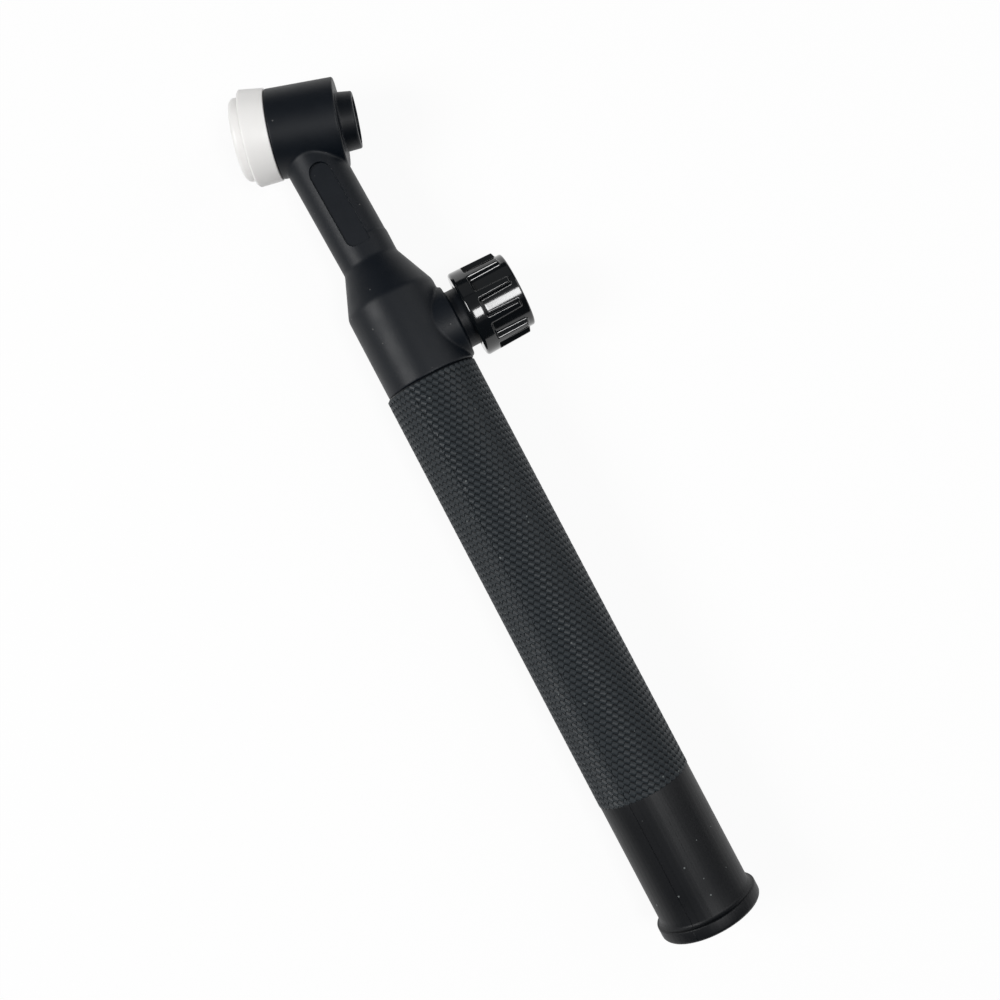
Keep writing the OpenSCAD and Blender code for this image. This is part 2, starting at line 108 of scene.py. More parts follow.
class Bench:
    """The operators that every piece is modelled with. Lengths are millimetres in the torch's own frame."""

    @staticmethod
    def clear() -> None:
        """Deselects everything, so that an operator acts on one piece alone."""
        if bpy.context.mode != "OBJECT":
            bpy.ops.object.mode_set(mode="OBJECT")
        bpy.ops.object.select_all(action="DESELECT")

    @staticmethod
    def pick(piece: Piece) -> None:
        """Makes piece the only selected and the active one.

        Args:
            piece: the piece.
        """
        Bench.clear()
        piece.select_set(True)
        bpy.context.view_layer.objects.active = piece

    @staticmethod
    def edit(piece: Piece, mode: str = "VERT", everything: bool = True) -> None:
        """Opens piece for editing.

        Args:
            piece: the piece to edit.
            mode: what is selected: VERT, EDGE or FACE.
            everything: whether all of it starts selected.
        """
        Bench.pick(piece)
        bpy.ops.object.mode_set(mode="EDIT")
        bpy.ops.mesh.select_mode(type=mode)
        bpy.ops.mesh.select_all(action="SELECT" if everything else "DESELECT")

    @staticmethod
    def done() -> None:
        """Closes the piece that is being edited."""
        bpy.ops.object.mode_set(mode="OBJECT")

    @staticmethod
    def select(piece: Piece, test: Callable[[Vector], bool]) -> None:
        """Selects the vertices of the edited piece that pass a test on their place.

        Args:
            piece: the piece, open for editing.
            test: tells from a vertex's place whether it is wanted.
        """
        mesh = bmesh.from_edit_mesh(piece.data)
        for vertex in mesh.verts:
            vertex.select_set(bool(test(vertex.co)))
        mesh.select_flush_mode()
        bmesh.update_edit_mesh(piece.data)

    @staticmethod
    def shape(piece: Piece, move: Callable[[Vector], Vector | None]) -> None:
        """Moves single vertices, as a sculpting tool would.

        Args:
            piece: the piece, in object mode.
            move: gives a vertex's new place, or None to leave it.
        """
        for vertex in piece.data.vertices:
            place = move(vertex.co)
            if place is not None:
                vertex.co = place
        piece.data.update()

    @staticmethod
    def add(piece: Piece, kind: str, **settings: object) -> None:
        """Puts a modifier on piece and applies it at once.

        Args:
            piece: the piece.
            kind: the modifier's type.
            settings: its settings by name.
        """
        Bench.pick(piece)
        modifier = piece.modifiers.new(kind.lower(), kind)
        for name, value in settings.items():
            setattr(modifier, name, value)
        bpy.ops.object.modifier_apply(modifier=modifier.name)

    @staticmethod
    def cut(piece: Piece, tool: Piece, how: Cut = Cut.REMOVE) -> None:
        """Cuts a tool out of piece, or fuses it with it, and throws the tool away."""
        Bench.add(piece, "BOOLEAN", operation=how.value, object=tool, solver="MANIFOLD")
        bpy.data.objects.remove(tool)

    @staticmethod
    def halve(piece: Piece, at: Vector, normal: Vector, keep_behind: bool = True,
              fill: bool = True) -> None:
        """Cuts piece at a plane and keeps one side.

        Args:
            piece: the piece.
            at: a point on the plane.
            normal: the plane's normal.
            keep_behind: keeps the side that the normal points away from.
            fill: closes the cut.
        """
        Bench.edit(piece)
        bpy.ops.mesh.bisect(plane_co=at, plane_no=normal, use_fill=fill, clear_outer=keep_behind,
                            clear_inner=not keep_behind, threshold=TINY)
        Bench.done()

    @staticmethod
    def weld(piece: Piece, distance: float = 1e-4, outwards: bool = True) -> None:
        """Merges doubled vertices and turns the faces outwards.

        Args:
            piece: the piece.
            distance: how close doubled vertices lie.
            outwards: whether the faces are turned.
        """
        Bench.edit(piece)
        bpy.ops.mesh.remove_doubles(threshold=distance)
        if outwards:
            bpy.ops.mesh.select_all(action="SELECT")
            bpy.ops.mesh.normals_make_consistent(inside=False)
        Bench.done()

    @staticmethod
    def smooth(piece: Piece, degrees: float) -> None:
        """Shades piece smooth, except at edges sharper than an angle."""
        Bench.pick(piece)
        bpy.ops.object.shade_smooth_by_angle(angle=math.radians(degrees))

    @staticmethod
    def join(pieces: Sequence[Piece]) -> Piece:
        """Joins pieces into the first one.

        Args:
            pieces: the pieces.

        Returns:
            The first piece, which holds them all.
        """
        Bench.clear()
        for piece in pieces:
            piece.select_set(True)
        bpy.context.view_layer.objects.active = pieces[0]
        bpy.ops.object.join()
        return pieces[0]

    @staticmethod
    def turn(piece: Piece, matrix: Matrix) -> Piece:
        """Places piece with a matrix and applies the place to its mesh.

        Args:
            piece: the piece.
            matrix: the place to give it.

        Returns:
            The same piece.
        """
        Bench.pick(piece)
        piece.matrix_world = matrix @ piece.matrix_world
        bpy.ops.object.transform_apply(location=True, rotation=True, scale=True)
        return piece

    @staticmethod
    def copy(piece: Piece, name: str) -> Piece:
        """Copies piece with a mesh of its own.

        Args:
            piece: the piece.
            name: the copy's name.

        Returns:
            The copy.
        """
        Bench.pick(piece)
        bpy.ops.object.duplicate()
        twin = bpy.context.active_object
        twin.name = name
        twin.data.name = name
        return twin

    @staticmethod
    def round_corners(points: Iterable[Point], steps: int = 5) -> Outline:
        """Rounds the corners of a closed outline.

        Args:
            points: (radius, distance) or (radius, distance, rounding) for each corner.
            steps: edges per rounded corner.

        Returns:
            The outline's points.
        """
        corners = list(points)
        made: Outline = []
        for i, corner in enumerate(corners):
            if len(corner) < 3:
                made.append((corner[0], corner[1]))
                continue
            here = Vector(corner[:2])
            before = Vector(corners[i - 1][:2]) - here
            after = Vector(corners[(i + 1) % len(corners)][:2]) - here
            before.normalize()
            after.normalize()
            half = before.angle(after) / 2
            middle = here + (before + after).normalized() * corner[2] / math.sin(half)
            start = here + before * corner[2] / math.tan(half) - middle
            end = here + after * corner[2] / math.tan(half) - middle
            first = math.atan2(start.y, start.x)
            sweep = (math.atan2(end.y, end.x) - first + 3 * math.pi) % (2 * math.pi) - math.pi
            for k in range(steps + 1):
                angle = first + sweep * k / steps
                made.append((middle.x + corner[2] * math.cos(angle), middle.y + corner[2] * math.sin(angle)))
        return made

    @staticmethod
    def lathe(name: str, outline: Sequence[tuple[float, float]], steps: int = 128) -> Piece:
        """Turns a closed outline about the X axis into a solid.

        Args:
            name: the piece's name.
            outline: (radius, distance along X) points, in order round the section.
            steps: facets round the axis.

        Returns:
            The turned piece.
        """
        Bench.clear()
        bpy.ops.mesh.primitive_circle_add(vertices=len(outline), radius=1.0)
        piece = bpy.context.active_object
        piece.name = piece.data.name = name
        for vertex, (radius, along) in zip(piece.data.vertices, outline):
            vertex.co = (along, 0.0, max(radius, 0.0))
        Bench.edit(piece)
        bpy.ops.mesh.spin(steps=steps, angle=2 * math.pi, center=(0, 0, 0), axis=(1, 0, 0))
        bpy.ops.mesh.select_all(action="SELECT")
        bpy.ops.mesh.remove_doubles(threshold=TINY)
        bpy.ops.mesh.dissolve_degenerate(threshold=1e-6)
        bpy.ops.mesh.select_all(action="SELECT")
        bpy.ops.mesh.normals_make_consistent(inside=False)
        Bench.done()
        return piece


@dataclass(frozen=True)
class Skeleton:
    """Axes of the torch: the handle along X, the shoulder, the leaning neck, the head and the valve."""

    origin: Vector
    offset: float = 0.35
    cone_end: float = 28.3
    neck_length: float = 33.2
    lean: float = math.radians(1.5)
    head_angle: float = math.radians(72.6)
    valve_x: float = 8.7
    flex: float = 20.7054

    @classmethod
    def from_handle(cls) -> "Skeleton":
        """Reads the torch's origin, at the front of the handle's axis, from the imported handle.

        Returns:
            The axes.
        """
        low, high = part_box("handle")
        middle = (low + high) / 2
        return cls(Vector((high.x, middle.y, middle.z)))

    def shoulder(self) -> Matrix:
        """The shoulder's own axis, beside the handle's."""
        return Matrix.Translation((0, -self.offset, 0))

    def neck(self) -> Matrix:
        """The neck's axis, from the end of the cone."""
        return Matrix.Translation((self.cone_end, -self.offset, 0)) @ Matrix.Rotation(self.lean, 4, "Z")

    def head(self) -> Matrix:
        """The head's axis, towards the nozzle."""
        place = self.neck() @ Vector((self.neck_length, 0, 0))
        return Matrix.Translation(place) @ Matrix.Rotation(self.head_angle, 4, "Z")

    def valve(self) -> Matrix:
        """The valve's axis, towards the knob."""
        return Matrix.Translation((self.valve_x, 0, 0)) @ Matrix.Rotation(-math.pi / 2, 4, "Z")

    def on_neck(self, along: float) -> Vector:
        """A point of the neck's axis, in the row frame and in metres."""
        return self.origin + (self.neck() @ Vector((along, 0, 0))) * MM

    def finish(self, piece: Piece) -> Piece:
        """Brings a piece from millimetres in the torch's frame to its place in the row."""
        return Bench.turn(piece, Matrix.Translation(self.origin) @ Matrix.Scale(MM, 4))


# ------------------------------------------------------------------ finishes


class Effect(Enum):
    """Surface effects that several finishes share."""

    GRAIN = "moulding_grain"
    SPECKS = "dust_specks"
    MOTTLE = "soft_mottle"
    # Knurl crests lighter with dust, grooves left dark as painted shade.
    CRESTS = "dulled_crests"


class Effects:
    """Builds each shared effect once, as a node group."""

    def __init__(self) -> None:
        """Starts with no effect built."""
        self.groups: dict[Effect, Tree] = {}

    @staticmethod
    def node(tree: Tree, kind: str, inputs: dict[str | int, object], **settings: object) -> bpy.types.Node:
        """Adds a shader node.

        Args:
            tree: the tree to add it to.
            kind: its type, without the part that all shader nodes share.
            inputs: a socket to link or a value to set, for each input.
            settings: its own settings by name.

        Returns:
            The node.
        """
        node = tree.nodes.new(f"ShaderNode{kind}")
        for name, value in settings.items():
            setattr(node, name, value)
        for label, value in inputs.items():
            if isinstance(value, bpy.types.NodeSocket):
                tree.links.new(value, node.inputs[label])
            else:
                node.inputs[label].default_value = value
        return node

    @staticmethod
    def math(tree: Tree, operation: str, first: object, second: object) -> object:
        """Works on two sockets or numbers, and gives the result's socket."""
        return Effects.node(tree, "Math", {0: first, 1: second}, operation=operation).outputs[0]

    @staticmethod
    def mix(tree: Tree, share: object, first: object, second: Colour) -> object:
        """Mixes a colour with a constant one.

        Args:
            tree: the tree to add it to.
            share: the socket of the second colour's share.
            first: a colour or its socket.
            second: a colour.

        Returns:
            The socket of the mixed colour.
        """
        first = (*first, 1.0) if isinstance(first, tuple) else first
        inputs = {"Factor": share, "A": first, "B": (*second, 1.0)}
        return Effects.node(tree, "Mix", inputs, data_type="RGBA").outputs["Result"]

    @staticmethod
    def _start(name: str, *inputs: str) -> tuple:
        """Starts a node group that works out one value.

        Args:
            name: the group's name.
            inputs: the names of the numbers that it takes besides a place.

        Returns:
            The tree, then the sockets of the place and of the numbers.
        """
        tree = bpy.data.node_groups.new(name, "ShaderNodeTree")
        tree.interface.new_socket("Place", in_out="INPUT", socket_type="NodeSocketVector")
        for label in inputs:
            tree.interface.new_socket(label, in_out="INPUT", socket_type="NodeSocketFloat")
        tree.interface.new_socket("Value", in_out="OUTPUT", socket_type="NodeSocketFloat")
        start = tree.nodes.new("NodeGroupInput")
        return tree, *(start.outputs[label] for label in ("Place", *inputs))

    @staticmethod
    def _close(tree: Tree, value: object) -> Tree:
        """Makes a socket's value the result of its node group."""
        tree.links.new(value, tree.nodes.new("NodeGroupOutput").inputs["Value"])
        return tree

    def _grain(self) -> Tree:
        """Makes the fine pebbled grain of a moulded surface.

        Returns:
            The node group.
        """
        tree, place, scale, coarse = self._start(Effect.GRAIN.value, "Scale", "Coarse")
        fine = self.node(tree, "TexNoise", {"Vector": place, "Scale": scale, "Detail": 2.0, "Roughness": 0.6})
        wider = self.math(tree, "MULTIPLY", scale, 0.45)
        wide = self.node(tree, "TexVoronoi", {"Vector": place, "Scale": wider}, feature="SMOOTH_F1")
        pebbles = self.math(tree, "MULTIPLY", wide.outputs["Distance"], coarse)
        return self._close(tree, self.math(tree, "ADD", fine.outputs["Fac"], pebbles))

    def _specks(self) -> Tree:
        """Makes sparse light specks of dust and mould release.

        Returns:
            The node group.
        """
        tree, place, scale, size, share = self._start(Effect.SPECKS.value, "Scale", "Size", "Share")
        cells = self.node(tree, "TexVoronoi", {"Vector": place, "Scale": scale})
        split = self.node(tree, "SeparateColor", {"Color": cells.outputs["Color"]})
        reach = self.math(tree, "MULTIPLY", split.outputs["Green"], size)
        near = self.math(tree, "LESS_THAN", cells.outputs["Distance"], reach)
        chosen = self.math(tree, "LESS_THAN", split.outputs["Red"], share)
        return self._close(tree, self.math(tree, "MULTIPLY", near, chosen))

    def _mottle(self) -> Tree:
        """Makes wide soft patches where a surface is handled or has flowed.

        Returns:
            The node group.
        """
        tree, place, scale = self._start(Effect.MOTTLE.value, "Scale")
        cloud = self.node(tree, "TexNoise", {"Vector": place, "Scale": scale, "Detail": 5.0, "Roughness": 0.55})
        return self._close(tree, self.math(tree, "SUBTRACT", cloud.outputs["Fac"], 0.5))

    def _crest_dust_and_groove_shade(self) -> Tree:
        """Finds the crests of a knurl, lighter with dust and wear, and leaves the grooves dark as painted
        shade, between two places along X and round an axis.

        Returns:
            The node group.
        """
        tree, place, first, last, axis_y, axis_z, radius, slope, rise = self._start(
            Effect.CRESTS.value, *CrestDustAndGrooveShade.SOCKETS)
        split = self.node(tree, "SeparateXYZ", {"Vector": place})
        along = split.outputs["X"]
        after = self.math(tree, "GREATER_THAN", along, first)
        before = self.math(tree, "LESS_THAN", along, last)
        squares = []
        for axis, middle in (("Y", axis_y), ("Z", axis_z)):
            side = self.math(tree, "SUBTRACT", split.outputs[axis], middle)
            squares.append(self.math(tree, "MULTIPLY", side, side))
        off = self.math(tree, "POWER", self.math(tree, "ADD", *squares), 0.5)
        drift = self.math(tree, "MULTIPLY", along, slope)
        above = self.math(tree, "SUBTRACT", self.math(tree, "ADD", off, drift), radius)
        share = self.math(tree, "MINIMUM", self.math(tree, "DIVIDE", above, rise), 1.0)
        crest = self.math(tree, "MAXIMUM", share, 0.0)
        return self._close(tree, self.math(tree, "MULTIPLY", self.math(tree, "MULTIPLY", after, before), crest))

    def place(self, tree: Tree, effect: Effect, values: dict[str, float]) -> object:
        """Places a shared effect in a material, building the effect at its first use.

        Args:
            tree: the material's tree.
            effect: the effect.
            values: the effect's numbers by name.

        Returns:
            The socket of its value.
        """
        if effect not in self.groups:
            self.groups[effect] = {Effect.GRAIN: self._grain, Effect.SPECKS: self._specks,
                                   Effect.MOTTLE: self._mottle, Effect.CRESTS: self._crest_dust_and_groove_shade}[effect]()
        at = tree.nodes.get("at") or self.node(tree, "TexCoord", {}, name="at")
        inputs = {"Place": at.outputs["Object"], **values}
        return self.node(tree, "Group", inputs, node_tree=self.groups[effect]).outputs["Value"]

    def surface(self, finish: "Finish", grain: dict[str, float], height: float) -> tuple:
        """Starts a material with the roughness and the bump that all finishes share.

        Args:
            finish: the finish.
            grain: the numbers of its grain.
            height: the grain's height in metres.

        Returns:
            The material, its tree, its shader and the socket of the soft mottle's value.
        """
        material = bpy.data.materials.new(finish.name)
        material.use_nodes = True
        tree = material.node_tree
        shader = tree.nodes["Principled BSDF"]
        cloud = self.place(tree, Effect.MOTTLE, {"Scale": finish.mottle_scale})
        rough = self.math(tree, "MULTIPLY", cloud, finish.rough_spread)
        tree.links.new(self.math(tree, "ADD", rough, finish.roughness), shader.inputs["Roughness"])
        relief = self.place(tree, Effect.GRAIN, grain)
        bump = self.node(tree, "Bump", {"Strength": 1.0, "Distance": height, "Height": relief})
        tree.links.new(bump.outputs["Normal"], shader.inputs["Normal"])
        return material, tree, shader, cloud


@dataclass(frozen=True)
class Finish:
    """What every finish has: its name, its linear colour, its roughness and the soft patches that vary it."""

    name: str
    colour: Colour
    roughness: float
    rough_spread: float = 0.1
    mottle_scale: float = 120.0


@dataclass(frozen=True)
class CrestDustAndGrooveShade:
    """Crests of a knurl lighter with dust and wear, over grooves kept dark as painted shade: along X, round an
    axis and above a cone. Metres.
    """

    SOCKETS: ClassVar[tuple[str, ...]] = ("From", "To", "Axis Y", "Axis Z", "Radius", "Slope", "Rise")

    colour: Colour
    start: float = -0.0706
    end: float = 0.0284
    axis: tuple[float, float] = (0.00544, 0.0117)
    radius: float = 0.01037
    slope: float = 0.00202
    rise: float = 0.00010

    def values(self) -> dict[str, float]:
        """The effect's numbers by name."""
        return dict(zip(self.SOCKETS, (self.start, self.end, *self.axis, self.radius, self.slope, self.rise)))


@dataclass(frozen=True)
class MouldedFinish(Finish):
    """A moulded plastic or rubber: colour, gloss, grain, dust and, on a knurl, painted shade in the grooves."""

    grain_scale: float = 9000.0
    grain_height: float = 0.000012
    coarse: float = 0.35
    mottle: float = 0.25
    speck_scale: float = 700.0
    speck_size: float = 0.12
    speck_share: float = 0.2
    speck_colour: Colour = (0.09, 0.09, 0.09)
    coat: float = 0.0
    coat_roughness: float = 0.08
    specular: float = 0.5
    dust_and_groove_shade: CrestDustAndGrooveShade | None = None

    def build(self, effects: Effects) -> Material:
        """Makes the material.

        Args:
            effects: the shared effects.

        Returns:
            The material.
        """
        material, tree, shader, cloud = effects.surface(
            self, {"Scale": self.grain_scale, "Coarse": self.coarse}, self.grain_height)
        shader.inputs["Specular IOR Level"].default_value = self.specular
        shader.inputs["Coat Weight"].default_value = self.coat
        shader.inputs["Coat Roughness"].default_value = self.coat_roughness
        shade = effects.math(tree, "ADD", effects.math(tree, "MULTIPLY", cloud, self.mottle), 1.0)
        tint = effects.node(tree, "HueSaturation", {"Color": (*self.colour, 1.0), "Value": shade})
        clean = tint.outputs["Color"]
        # Crests lighter with dust and wear; the grooves keep the dark colour as painted shade.
        if self.dust_and_groove_shade:
            dust_and_shade_share = effects.place(tree, Effect.CRESTS, self.dust_and_groove_shade.values())
            clean = effects.mix(tree, dust_and_shade_share, clean, self.dust_and_groove_shade.colour)
        specks = effects.place(tree, Effect.SPECKS, {"Scale": self.speck_scale, "Size": self.speck_size,
                                                     "Share": self.speck_share})
        tree.links.new(effects.mix(tree, specks, clean, self.speck_colour), shader.inputs["Base Color"])
        return material


@dataclass(frozen=True)
class MetalFinish(Finish):
    """A machined or drawn metal, with fine tool marks and a dull film."""

    rough_spread: float = 0.3
    mottle_scale: float = 260.0
    film: Colour = (0.5, 0.5, 0.5)
    film_share: float = 0.4
    mark_scale: float = 4000.0
    mark_height: float = 0.000006
    mark_coarse: float = 0.1

    def build(self, effects: Effects) -> Material:
        """Makes the material.

        Args:
            effects: the shared effects.

        Returns:
            The material.
        """
        material, tree, shader, cloud = effects.surface(
            self, {"Scale": self.mark_scale, "Coarse": self.mark_coarse}, self.mark_height)
        shader.inputs["Metallic"].default_value = 1.0
        share = effects.math(tree, "ADD", cloud, self.film_share)
        tree.links.new(effects.mix(tree, share, self.colour, self.film), shader.inputs["Base Color"])
        return material


class Palette:
    """Every finish of the torch, built once."""

    def __init__(self) -> None:
        """Builds the materials from their finishes."""
        for old in list(bpy.data.materials):
            bpy.data.materials.remove(old)
        effects = Effects()
        self.rubber = MouldedFinish("moulding_rubber", (0.0010, 0.0030, 0.0062), 0.48, specular=0.3,
                                    grain_height=0.000013, rough_spread=0.16, mottle_scale=260,
                                    speck_scale=620, speck_share=0.3).build(effects)
        # The grip's knurl: crests lightened by dust and wear, grooves kept dark as painted shade.
        self.grip = MouldedFinish("handle_plastic", (0.0022, 0.0030, 0.0044), 0.48, specular=0.28,
                                  dust_and_groove_shade=CrestDustAndGrooveShade((0.0180, 0.0228, 0.0268)), grain_height=0.000010,
                                  mottle_scale=90, speck_scale=800, speck_size=0.2, speck_share=0.12,
                                  speck_colour=(0.11, 0.12, 0.12)).build(effects)
        self.knob = MouldedFinish("knob_plastic", (0.0020, 0.0030, 0.0042), 0.14, rough_spread=0.04,
                                  grain_scale=1500, grain_height=0.000003, mottle=0.1, speck_scale=900,
                                  speck_size=0.08, speck_share=0.08, coat=0.45, specular=0.45).build(effects)
        self.gasket = MouldedFinish("gasket_white", (0.86, 0.85, 0.835), 0.36, grain_scale=3000,
                                    grain_height=0.000006, mottle=0.03, speck_share=0.0).build(effects)
        self.seal = MouldedFinish("seal_rubber", (0.006, 0.006, 0.0065), 0.4).build(effects)
        self.brass = MetalFinish("brass", (0.61, 0.42, 0.15), 0.3, film=(0.42, 0.28, 0.10)).build(effects)
        self.copper = MetalFinish("copper", (0.78, 0.36, 0.20), 0.3, film=(0.50, 0.22, 0.12)).build(effects)
        self.braid = MetalFinish("braid_copper", (0.78, 0.38, 0.22), 0.38, film=(0.45, 0.21, 0.12),
                                 mark_scale=1500, mark_height=0.00004).build(effects)
        self.steel = MetalFinish("screw_steel", (0.60, 0.61, 0.62), 0.28,
                                 film=(0.45, 0.46, 0.47)).build(effects)

    def slots(self) -> dict[str, Material]:
        """Material of each slot of the record."""
        return {m.name: m for m in (self.rubber, self.grip, self.knob, self.gasket, self.seal, self.brass,
                                    self.copper, self.braid, self.steel)}

    @staticmethod
    def coat(piece: Piece, material: Material) -> None:
        """Gives piece one material all over."""
        piece.data.materials.clear()
        piece.data.materials.append(material)

    @staticmethod
    def dress(piece: Piece, bones: Skeleton, degrees: float, material: Material) -> None:
        """Brings a modelled piece to its place, shades it smooth and gives it its material.

        Args:
            piece: the piece.
            bones: the torch's axes.
            degrees: the angle from which an edge stays sharp.
            material: its material.
        """
        bones.finish(piece)
        Bench.smooth(piece, degrees)
        Palette.coat(piece, material)


# ------------------------------------------------------------------ handle


@dataclass
class Handle:
    """The hollow moulded handle: diamond knurl, smooth tube, rim and rear mouth."""

    bones: Skeleton
    length: float = 131.0
    grip: float = 99.0
    crest_r: float = 10.55
    taper: float = 0.019
    tube_r: float = 10.6
    rim_r: float = 11.7
    rim_width: float = 3.0
    front: float = 0.4
    bore_r: float = 8.6
    mouth_r: float = 8.95
    mouth_depth: float = 26.0
    around: int = 46
    rows: int = 37
    depth: float = 0.25
    facets: tuple[tuple[float, float, float], ...] = (
        (0.190, 0.055, 0.75), (0.034, 0.020, 0.15), (0.045, 0.030, 0.1))
    phase: float = 0.2
    knurl_weld: float = 2e-3
    bore_front: float = 6.0
    seam_angle: float = math.radians(26)
    seam_depth: float = 0.17
    seam_share: tuple[float, float] = (0.7, 0.5)
    seam_waves: tuple[float, float, float] = (1.7, 0.61, 1.0)
    seam_width: float = 0.07
    skin_r: float = 9.7
    smooth: float = 32

    def knurl(self) -> Piece:
        """Models one diamond, repeats it over a sheet and rolls the sheet into the grip.

        Returns:
            The open knurled tube.
        """
        floor = self.crest_r - self.depth
        wide = 2 * math.pi * floor / self.around
        long = self.grip / self.rows
        half = math.sqrt(0.125)
        Bench.clear()
        bpy.ops.mesh.primitive_plane_add(size=2 * half, rotation=(math.pi / 2, 0, 0))
        sheet = bpy.context.active_object
        sheet.name = "handle_knurl"
        bpy.ops.object.transform_apply(rotation=True)
        Bench.edit(sheet, "FACE")
        side_x = side_z = half
        sliver = 0.01
        for wide_facet, narrow_facet, rise in self.facets:
            bpy.ops.mesh.inset(thickness=sliver, depth=0)
            next_x, next_z = side_x - wide_facet, side_z - narrow_facet
            bpy.ops.transform.resize(value=(next_x / (side_x - sliver), 1, next_z / (side_z - sliver)),
                                     center_override=(0, 0, 0))
            bpy.ops.transform.translate(value=(0, -rise * self.depth, 0))
            side_x, side_z = next_x, next_z
        Bench.done()
        Bench.turn(sheet, Matrix.Diagonal((long, 1, wide, 1)) @ Matrix.Rotation(math.pi / 4, 4, "Y"))
        Bench.edit(sheet)
        bpy.ops.transform.translate(value=(self.phase * long, 0, 0))
        bpy.ops.mesh.duplicate_move(TRANSFORM_OT_translate={"value": (-long / 2, 0, wide / 2)})
        Bench.done()
        for count, offset in ((self.around, (0, 0, wide)), (self.rows + 1, (-long, 0, 0))):
            Bench.add(sheet, "ARRAY", count=count, use_relative_offset=False, use_constant_offset=True,
                      constant_offset_displace=offset)
        Bench.weld(sheet, self.knurl_weld, outwards=False)
        depths = [v.co.z for v in sheet.data.vertices]
        angle = 2 * math.pi * (max(depths) - min(depths)) / (self.around * wide)
        Bench.add(sheet, "SIMPLE_DEFORM", deform_method="BEND", deform_axis="X", angle=angle)
        Bench.turn(sheet, Matrix.Translation((0, -floor, 0)))
        for at, outer in ((-self.front, True), (-self.grip, False)):
            Bench.halve(sheet, Vector((at, 0, 0)), Vector((1, 0, 0)), outer, fill=False)
        Bench.weld(sheet, self.knurl_weld)
        spread = [v.co.x for v in sheet.data.vertices]
        grow = self.taper * (max(spread) - min(spread)) / self.grip
        Bench.add(sheet, "SIMPLE_DEFORM", deform_method="TAPER", deform_axis="X", factor=-grow)
        return sheet

    def _loop(self, piece: Piece, at: float) -> None:
        """Selects the shell's open edge at a place along the handle.

        Args:
            piece: the shell, open for editing.
            at: the place along X.
        """
        mesh = bmesh.from_edit_mesh(piece.data)
        for vertex in mesh.verts:
            vertex.select_set(False)
        for edge in mesh.edges:
            edge.select_set(edge.is_boundary and all(abs(v.co.x - at) < NEAR for v in edge.verts))
        bmesh.update_edit_mesh(piece.data)

    def _ring(self, piece: Piece, radius: float, along: float) -> None:
        """Extrudes the selected edge loop into a new ring of that radius at that place.

        Args:
            piece: the shell, open for editing.
            radius: the ring's radius.
            along: its place along X.
        """
        bpy.ops.mesh.extrude_region_move()
        mesh = bmesh.from_edit_mesh(piece.data)
        for vertex in mesh.verts:
            if vertex.select:
                here = Vector((0, vertex.co.y, vertex.co.z)).normalized() * radius
                vertex.co = Vector((along, here.y, here.z))
        bmesh.update_edit_mesh(piece.data)

    def shell(self) -> Piece:
        """Closes the knurled tube into the whole handle.

        Returns:
            The handle, in the torch's frame.
        """
        piece = self.knurl()
        back = -self.length
        rim = back + self.rim_width
        step = back + self.mouth_depth
        tube, grip, bore = self.tube_r, -self.grip, self.bore_r
        floor = self.crest_r - self.depth
        rear = Bench.round_corners(
            [(tube - 0.03, grip), (tube, grip - 0.4), (tube, grip - 6.0), (tube, rim + 6.0), (tube, rim, 0.8),
             (self.rim_r, rim, 0.25), (self.rim_r, back, 0.9), (self.mouth_r, back, 0.4),
             (self.mouth_r, step), (bore, step - 0.2), (bore, -self.bore_front)])
        front = [(floor - 0.05, -0.2), (floor - 0.18, -0.05), (floor - 0.4, 0.0),
                 (bore + 0.3, 0.0), (bore, -0.3), (bore, 1 - self.bore_front)]
        Bench.edit(piece, "EDGE", everything=False)
        for at, rings in ((grip, rear), (-self.front, front)):
            self._loop(piece, at)
            for radius, along in rings:
                self._ring(piece, radius, along)
        mesh = bmesh.from_edit_mesh(piece.data)
        for edge in mesh.edges:
            edge.select_set(edge.is_boundary)
        bmesh.update_edit_mesh(piece.data)
        bpy.ops.mesh.bridge_edge_loops()
        Bench.done()
        Bench.weld(piece)
        return piece

    def seam(self, piece: Piece) -> None:
        """Cuts the fine line where the two halves of the mould met, along both sides.

        Args:
            piece: the handle.
        """
        across = Vector((0, math.cos(self.seam_angle), -math.sin(self.seam_angle)))
        for shift in (-self.seam_width, 0.0, self.seam_width):
            Bench.edit(piece)
            bpy.ops.mesh.bisect(plane_co=across * shift, plane_no=across, threshold=TINY)
            Bench.done()

        def press(here: Vector) -> Vector | None:
            """Moves a vertex on the line inwards, here deeper and there less.

            Args:
                here: the vertex's place.

            Returns:
                Its new place, or None where it stays.
            """
            radius = math.hypot(here.y, here.z)
            if abs(here.dot(across)) > 0.01 or radius < self.skin_r:
                return None
            fast, slow, start = self.seam_waves
            steady, varied = self.seam_share
            wave = math.sin(fast * here.x) * math.sin(slow * here.x + start)
            scale = 1 - self.seam_depth * (steady + varied * wave) / radius
            return Vector((here.x, here.y * scale, here.z * scale))

        Bench.shape(piece, press)

    def build(self, palette: Palette) -> Piece:
        """Makes the handle, dresses it and puts it on its body.

        Args:
            palette: the finishes.

        Returns:
            The finished handle.
        """
        piece = self.shell()
        self.seam(piece)
        piece.name = piece.data.name = "handle_moulded"
        lowest = self.crest_r * (1 - self.taper) - self.depth
        facets = [-self.grip < polygon.center.x < -self.front and polygon.center.yz.length > lowest
                  for polygon in piece.data.polygons]
        self.bones.finish(piece)
        Bench.smooth(piece, self.smooth)
        for polygon, facet in zip(piece.data.polygons, facets):
            polygon.use_smooth = not facet
        Palette.coat(piece, palette.grip)
        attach(piece, Body.ROOT.value)
        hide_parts("handle")
        return piece


# ------------------------------------------------------------------ rubber moulding


